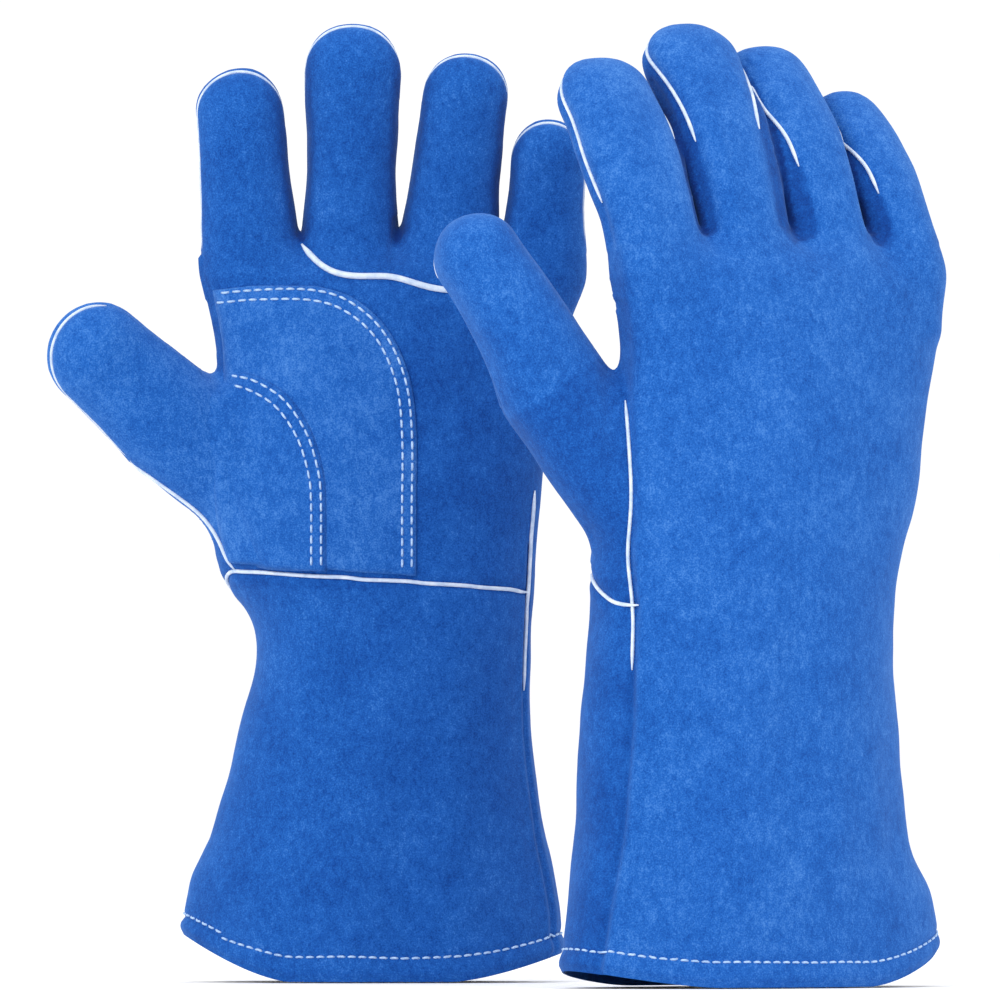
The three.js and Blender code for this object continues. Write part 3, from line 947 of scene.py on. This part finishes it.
def paint(piece, tones):
    """Stores how light or dark the suede is at each point."""
    attribute = piece.data.attributes.new("tone", "FLOAT", "POINT")
    attribute.data.foreach_set("value", np.asarray(tones, np.float32))


def tone_at(skin, used):
    """How light or dark the suede is over the glove: palm, back, thumb and the right glove's top each a
    little lighter or darker, with painted shade on the side strips between the fingers.
    """
    glove = skin.glove
    points = skin.points[used]
    tone = np.full(len(points), BASE_TONE)
    back = smooth_step(glove.seam_side(points), -1, 3)
    for index, digit in enumerate(glove.digits, 1):
        x, y, s = digit.unroll(points)
        seam = seam_height(digit, x, s)
        on_back = smooth_step(y - seam, -1, 1.5)
        back = np.where(skin.owner[used] == index, on_back, back)
        if digit.name == "thumb":
            continue
        # Painted shade between the fingers: darker on the front of the side strips where a finger faces its
        # neighbour, fading out towards the tip.
        near = (s > -6) * (digit.distance(points) < 3) * inner_side(digit, x)
        strip = near * (1 - on_back) * smooth_step(np.abs(x) / digit.width, 0.4, 0.6)
        strip = strip * smooth_step(y / digit.depth, -0.75, -0.45)
        tone += BETWEEN_FINGERS_SHADE * strip * (1 - smooth_step(s / digit.length, 0.75, 0.95))
    thumb = smooth_step(-glove.thumb.distance(points), -7, -1)
    tone += PALM_TONE * ~skin.back[used] * (points[:, 2] > 165) * (points[:, 2] < 296)
    if glove.mirrored:
        high = smooth_step(points[:, 2], 290, 350)
        side = (1 - back) * (points[:, 2] < 170)
        return tone + 0.07 * back + 0.05 * high - 0.03 * thumb - 0.07 * side
    return tone + 0.17 * thumb


def finish_piece(nodes):
    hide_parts(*nodes)


def bend(piece, glove, digit=None):
    """Bakes the piece's transform into its mesh. The span of the fold that it crosses is worked out, but
    the piece is not bent.
    """
    if digit is None:
        start = glove.to_world([0, 0, WRIST_FOLD[0]])
        end = glove.to_world([0, 0, WRIST_FOLD[1]])
        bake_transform(piece)
        return
    start = glove.to_world(digit.start + digit.along * 1.5)
    end = glove.to_world(digit.start + digit.along * FOLD_LENGTH)
    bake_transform(piece)


def skin_pieces(skin):
    """The glove's leather panels."""
    glove = skin.glove
    name = glove.name
    faces = skin.faces
    owner = skin.owner[faces].max(axis=1)
    back = skin.back[faces].mean(axis=1) > 0.5
    low = skin.above_wrist[faces].mean(axis=1) < 0.5
    hand = owner == 0
    made = [
        (f"{name}_cuff_palm", hand & ~back & low, None, "palm_suede", [f"{name}_cuff_palm_panel"]),
        (f"{name}_palm", hand & ~back & ~low, None, "palm_suede",
         [f"{name}_palm_panel", f"{name}_thumb_root_front"]),
        (f"{name}_back", hand & back, None, "back_suede",
         [f"{name}_back_panel", f"{name}_cuff_back_panel", f"{name}_thumb_root_back"]),
    ]
    for index, digit in enumerate(glove.digits, 1):
        for part, side in (("front", ~back), ("back", back)):
            slot = "back_suede" if part == "back" else "palm_suede"
            piece_name = f"{name}_{digit.name}_{part}_leather"
            nodes = [f"{name}_{digit.name}_{part}"]
            made.append((piece_name, (owner == index) & side, digit, slot, nodes))
    for piece_name, chosen, digit, slot, nodes in made:
        piece = leather(piece_name, skin, chosen, SUEDE)
        used = np.unique(faces[chosen])
        tones = tone_at(skin, used)
        paint(piece, np.concatenate([tones, tones + INNER_TONE]))
        bend(piece, glove, digit)
        finish_piece(nodes)


def at_digit(digit, x, across, along):
    return digit.roll(np.array(float(x)), np.array(float(across)), np.array(float(along)))


def round_tip(digit, start, end, count=15):
    """Points over the end of a digit, from one side to the other."""
    points = []
    for turn in np.radians(np.linspace(start, end, count)):
        x, s = digit.width * math.sin(turn), digit.cap + digit.width * math.cos(turn)
        points.append(at_digit(digit, x, seam_height(digit, np.array(x), s), s))
    return points


def side_line(digit, side, start):
    """Points up one side of a digit along its seam."""
    points = []
    for s in np.linspace(start, digit.cap, 26):
        y = float(seam_height(digit, np.array(side * digit.width), s))
        width = float(digit.half_width(np.array(s)))
        x = side * width * math.sqrt(max(0, 1 - (y / digit.depth) ** 2))
        points.append(at_digit(digit, x, y, s))
    return points


def finger_piping(skin):
    """White piping up one side of each finger, over its tip and down the other side."""
    glove = skin.glove
    for digit in glove.fingers:
        first, second = PIPING_STARTS[digit.name] if digit.bellied else STRAIGHT_START
        path = side_line(digit, -1, first) + round_tip(digit, -84, 84) + side_line(digit, 1, second)[::-1]
        piping(f"{glove.name}_{digit.name}_piping", skin, path, digit)


def thumb_piping(skin):
    """White piping up the thumb's outer side and over its tip, and down its root to the wrist."""
    glove = skin.glove
    outer = side_line(glove.thumb, -1, 3)
    piping(f"{glove.name}_thumb_piping", skin, outer + round_tip(glove.thumb, -80, 60), glove.thumb)
    foot = glove.on_tube(math.radians(THUMB_SEAM_FOOT[glove.name]), THUMB_SEAM_LOW, 1.0)
    path = []
    for t in np.linspace(0, 1, 18):
        path.append(outer[0] * (1 - t) + foot * t + np.array(THUMB_SEAM_BOW) * math.sin(math.pi * t))
    piping(f"{glove.name}_thumb_seam_piping", skin, path)


def seam_piping(skin):
    """White piping along the seams of the hand and the gauntlet."""
    glove = skin.glove
    name = glove.name
    wrist = [glove.on_tube(math.radians(a), wrist_height(a), 1.0) for a in np.linspace(150, 342, 80)]
    back = [skin.behind(glove.back_edge(z), z) for z in np.linspace(*SEAM_SPANS["back"], 50)]
    pinky_side = math.radians(SEAM_PINKY_SIDE)
    side = [glove.on_tube(pinky_side, z, 1.0) for z in np.linspace(*SEAM_SPANS["side"], 60)]
    root = [skin.in_front(x, z)[0] for x, z in smooth_curve(ROOT_SEAM)]
    rows = [
        ("wrist_piping", wrist, PIPING_RADIUS, 3, [f"{name}_wrist_welt"]),
        ("side_piping", side, PIPING_RADIUS, 3, [f"{name}_side_welt"]),
        ("back_piping", back, 0.8, 12, []),
        ("finger_root_piping", root, 1.35, 3, [f"{name}_finger_root_welt"]),
    ]
    for part, path, radius, rounds, nodes in rows:
        piece = piping(f"{name}_{part}", skin, path, None, radius, 0.5, rounds)
        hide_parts(*nodes)


def left_x(glove, heights):
    """How far across the tube's thumb side is."""
    middle, width, _ = glove.section(np.asarray(heights, float))
    return middle - width


def palm_patch(skin):
    """The reinforcement patch on the index side of the palm."""
    glove = skin.glove
    heights = np.linspace(290, 176, 40)
    outline = np.vstack([
        [(19, 170.5)],
        smooth_curve(PATCH_EDGE),
        [(-50, 292)],
        np.column_stack([left_x(glove, heights) + 3, heights]),
    ])

    def fade(flat):
        return smooth_step(flat[:, 0] - left_x(glove, flat[:, 1]), 2, 7)

    layer = Applique(skin, outline, 1.6, fade)
    finish_layer(layer, "palm_patch", PATCH_TONE, PATCH_STITCHES)


def thumb_wing(skin):
    """The leaf of the thumb piece that runs down over the palm to the wrist seam."""
    heights = np.linspace(255, 174, 40)
    outline = np.vstack([
        [(-18.5, 172.5)],
        smooth_curve(WING_EDGE),
        np.column_stack([np.interp(heights, WING_END_HEIGHTS, WING_END_PLACES), heights]),
    ])

    def fade(flat):
        return smooth_step(flat[:, 0] - np.interp(flat[:, 1], WING_END_HEIGHTS, WING_END_PLACES), 1, 14)

    layer = Applique(skin, outline, 3.0, fade)
    finish_layer(layer, "thumb_wing", WING_TONE, WING_STITCHES)


def finish_layer(layer, part, tone, rows):
    """The layer's leather and its rows of stitches."""
    glove = layer.skin.glove
    piece = layer.piece(f"{glove.name}_{part}_leather", SUEDE)
    paint(piece, np.full(len(piece.data.vertices), tone))
    bend(piece, glove)
    finish_piece([f"{glove.name}_{part}"])
    short = part.split("_")[1]
    for index, row in enumerate(rows):
        flat = smooth_curve(row, 200)
        points = np.insert(flat, 1, -40, axis=1)
        thread = stitches(f"{glove.name}_{short}_stitches_{index}", layer.skin, layer.surface, points)
        bend(thread, glove)


def hem_stitches(skin):
    glove = skin.glove
    path = [glove.on_tube(a, HEM_STITCH, 1.0) for a in np.linspace(0, 2 * math.pi, 240)]
    thread = stitches(f"{glove.name}_hem_stitches", skin, skin.on, path)
    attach(thread, f"{glove.name}_cuff")


def lining(skin):
    """Canvas inside the gauntlet, from the hem fold to the wrist."""
    glove = skin.glove
    rings, around = 30, 120
    heights = np.linspace(*LINING_HEIGHTS, rings)
    angles = np.linspace(0, 2 * math.pi, around, endpoint=False)
    points = [glove.on_tube(a, z, -inset) for inset in LINING_INSETS for z in heights for a in angles]
    count = rings * around
    outer = ring_quads(rings, around)
    faces = outer + [tuple(v + count for v in quad[::-1]) for quad in outer]
    last = count - around
    for k in range(around):
        b = (k + 1) % around
        faces.append((b, k, k + count, b + count))
        faces.append((last + k, last + b, last + b + count, last + k + count))
    piece = add_mesh(f"{glove.name}_canvas_lining", glove, np.array(points), faces, CANVAS)
    bend(piece, glove)
    finish_piece([f"{glove.name}_cuff_lining"])


def build_glove(name, seed):
    skin = Skin(Glove(name), seed)
    skin_pieces(skin)
    finger_piping(skin)
    thumb_piping(skin)
    seam_piping(skin)
    palm_patch(skin)
    thumb_wing(skin)
    hem_stitches(skin)
    lining(skin)
    return skin


# ---- studio

def area_light(name, place, aim_height, size, power):
    data = bpy.data.lights.new(name, "AREA")
    data.size = size
    data.energy = power
    lamp = bpy.data.objects.new(name, data)
    lamp.location = place
    lamp.rotation_euler = (Vector((0, 0, aim_height)) - Vector(place)).to_track_quat("-Z", "Y").to_euler()
    bpy.context.scene.collection.objects.link(lamp)


def studio():
    scene = bpy.context.scene
    world = bpy.data.worlds.new("studio")
    world.use_nodes = True
    world.node_tree.nodes["Background"].inputs["Color"].default_value = (1, 1, 1, 1)
    world.node_tree.nodes["Background"].inputs["Strength"].default_value = 1.05
    scene.world = world
    scene.view_settings.view_transform = "Standard"
    mesh = bpy.data.meshes.new("floor")
    corners = [(-1, -1), (1, -1), (1, 1), (-1, 1)]
    mesh.from_pydata([(x * FLOOR_REACH, y * FLOOR_REACH, 0) for x, y in corners], [], [(0, 1, 2, 3)])
    floor = bpy.data.objects.new("floor", mesh)
    floor.location.z = -FLOOR_DROP
    material, shader = new_material("floor_white", 0.8)
    shader.inputs["Base Color"].default_value = (0.98, 0.98, 0.98, 1)
    mesh.materials.append(material)
    scene.collection.objects.link(floor)
    for name, (place, aim_height, size, power) in LAMPS.items():
        area_light(name, place, aim_height, size, power)


def camera(left_origin_x):
    data = bpy.data.cameras.new("camera")
    camera_object = bpy.data.objects.new("camera", data)
    data.sensor_width = 36
    data.lens = data.sensor_width * CAMERA_DISTANCE / PICTURE_WIDTH
    data.clip_end = CAMERA_DISTANCE + FLOOR_REACH
    aim = Vector(CAMERA_AIM) + Vector((left_origin_x, 0, 0))
    tilt = math.radians(CAMERA_TILT)
    camera_object.location = aim + Vector((0, -math.cos(tilt), math.sin(tilt))) * CAMERA_DISTANCE
    camera_object.rotation_euler = (math.radians(90) - tilt, 0, 0)
    bpy.context.scene.collection.objects.link(camera_object)
    bpy.context.scene.camera = camera_object


left = build_glove("left", 1)
build_glove("right", 4)
studio()
camera(left.glove.origin[0] * MM)
